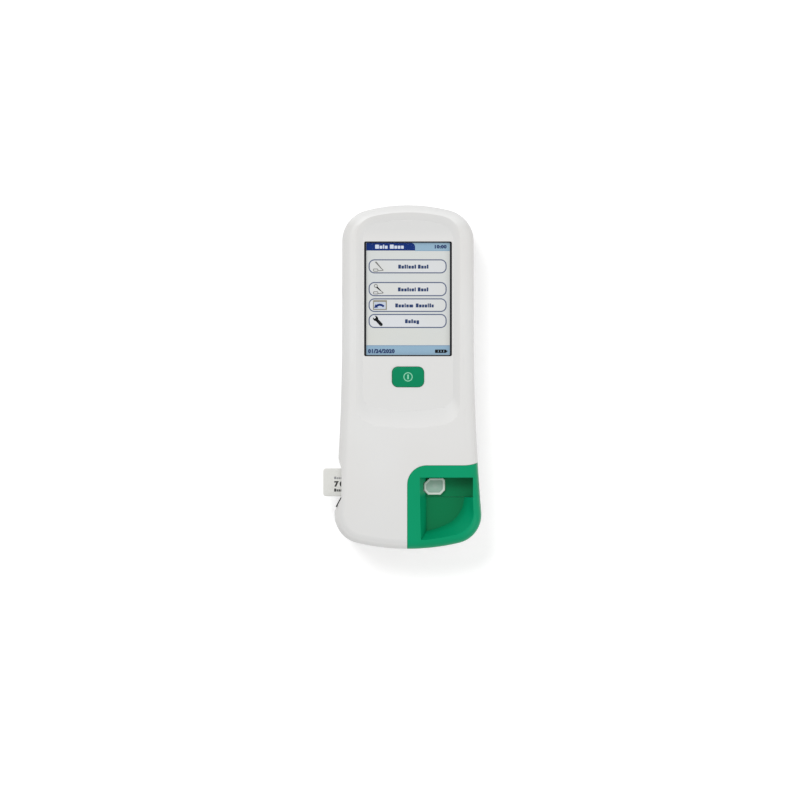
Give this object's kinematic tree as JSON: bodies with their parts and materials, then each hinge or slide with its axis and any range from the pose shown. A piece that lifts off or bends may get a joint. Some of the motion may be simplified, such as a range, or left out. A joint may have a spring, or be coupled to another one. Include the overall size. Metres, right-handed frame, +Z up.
{
  "type": "cardiac marker analyzer",
  "caption": "Handheld cardiac marker meter with a touch display, push button, lift-off green strip cover, test strip, plug-in code chip and sliding battery cover.",
  "frame": {"origin": "on the table plane under the body's centre line, half way along its length, with the meter lying on its back", "axes": "+Z up, out of the display; +Y along the body towards the display end; +X towards the strip side"},
  "size_m": [0.1123, 0.244, 0.051],
  "materials": {
    "housing_white": "fine satin moulded",
    "cover_green": "satin moulded",
    "button_green": "smooth moulded",
    "frame_black": "smooth printed black",
    "screen_glass": "clear touch glass",
    "lcd_face": "lit display face",
    "backlight_plastic": "diffuse light guide",
    "sheet_steel": "stamped",
    "gasket_foam": "closed-cell foam",
    "flex_film": "polyimide film",
    "circuit_board": "solder mask on glass fibre laminate",
    "chip_black": "moulded epoxy",
    "connector_ivory": "moulded nylon",
    "gold_contact": "gold plated",
    "black_plastic": "moulded, matt",
    "heater_aluminium": "machined",
    "lens_acrylic": "polished acrylic",
    "dark_window": "infrared-clear dark acrylic",
    "strip_plastic": "moulded, light grey",
    "strip_fleece": "glass fibre fleece",
    "chip_plastic": "moulded, off-white",
    "battery_wrap": "heat-shrink film",
    "cell_steel": "nickel plated",
    "screw_steel": "zinc plated",
    "foot_rubber": "moulded"
  },
  "bodies": {
    "housing": {"front_housing": "housing_white", "rear_housing": "housing_white", "display_frame": "frame_black", "touch_glass": "screen_glass", "lcd_panel": "lcd_face", "backlight_unit": "backlight_plastic", "lcd_bracket": "sheet_steel", "display_gasket": "gasket_foam", "lcd_flex": "flex_film", "display_standoffs": "gold_contact", "main_board": "circuit_board", "board_chips": "chip_black", "board_connectors": "connector_ivory", "power_switch": "black_plastic", "beeper": "black_plastic", "cell_holder": "black_plastic", "backup_cell": "cell_steel", "strip_tray": "cover_green", "reading_window": "lens_acrylic", "chip_slot_bezel": "black_plastic", "chip_socket": "black_plastic", "reader_board": "circuit_board", "optics_housing": "black_plastic", "optics_lens": "lens_acrylic", "optics_board": "circuit_board", "illumination_board": "circuit_board", "heater_plate": "heater_aluminium", "scanner_window": "dark_window", "scanner_module": "black_plastic", "ir_window": "dark_window", "ir_transceiver": "dark_window", "power_jack": "black_plastic", "jack_pin": "gold_contact", "dock_block": "black_plastic", "dock_contacts": "gold_contact", "battery_pack": "battery_wrap", "battery_contacts": "gold_contact", "housing_screws": "screw_steel", "board_screws": "screw_steel", "rubber_feet": "foot_rubber"},
    "power_button": {"power_button": "button_green"},
    "strip_cover": {"strip_cover": "cover_green"},
    "test_strip": {"test_strip": "strip_plastic", "strip_pads": "strip_fleece"},
    "code_chip": {"code_chip": "chip_plastic", "chip_contacts": "gold_contact"},
    "battery_cover": {"battery_cover": "housing_white"}
  },
  "joints": [
    {"name": "power_button_press", "type": "slide", "parent": "housing", "child": "power_button", "axis": [0, 0, -1], "range_m": [0, 0.001], "stiffness_N_per_m": 600},
    {"name": "strip_cover_lift", "type": "slide", "parent": "housing", "child": "strip_cover", "axis": [0, 0, 1], "range_m": [0, 0.03]},
    {"name": "test_strip_pull", "type": "slide", "parent": "housing", "child": "test_strip", "axis": [1, 0, 0], "range_m": [0, 0.066]},
    {"name": "code_chip_pull", "type": "slide", "parent": "housing", "child": "code_chip", "axis": [-1, 0, 0], "range_m": [0, 0.028]},
    {"name": "battery_cover_slide", "type": "slide", "parent": "housing", "child": "battery_cover", "axis": [0, -1, 0], "range_m": [0, 0.12]}
  ]
}
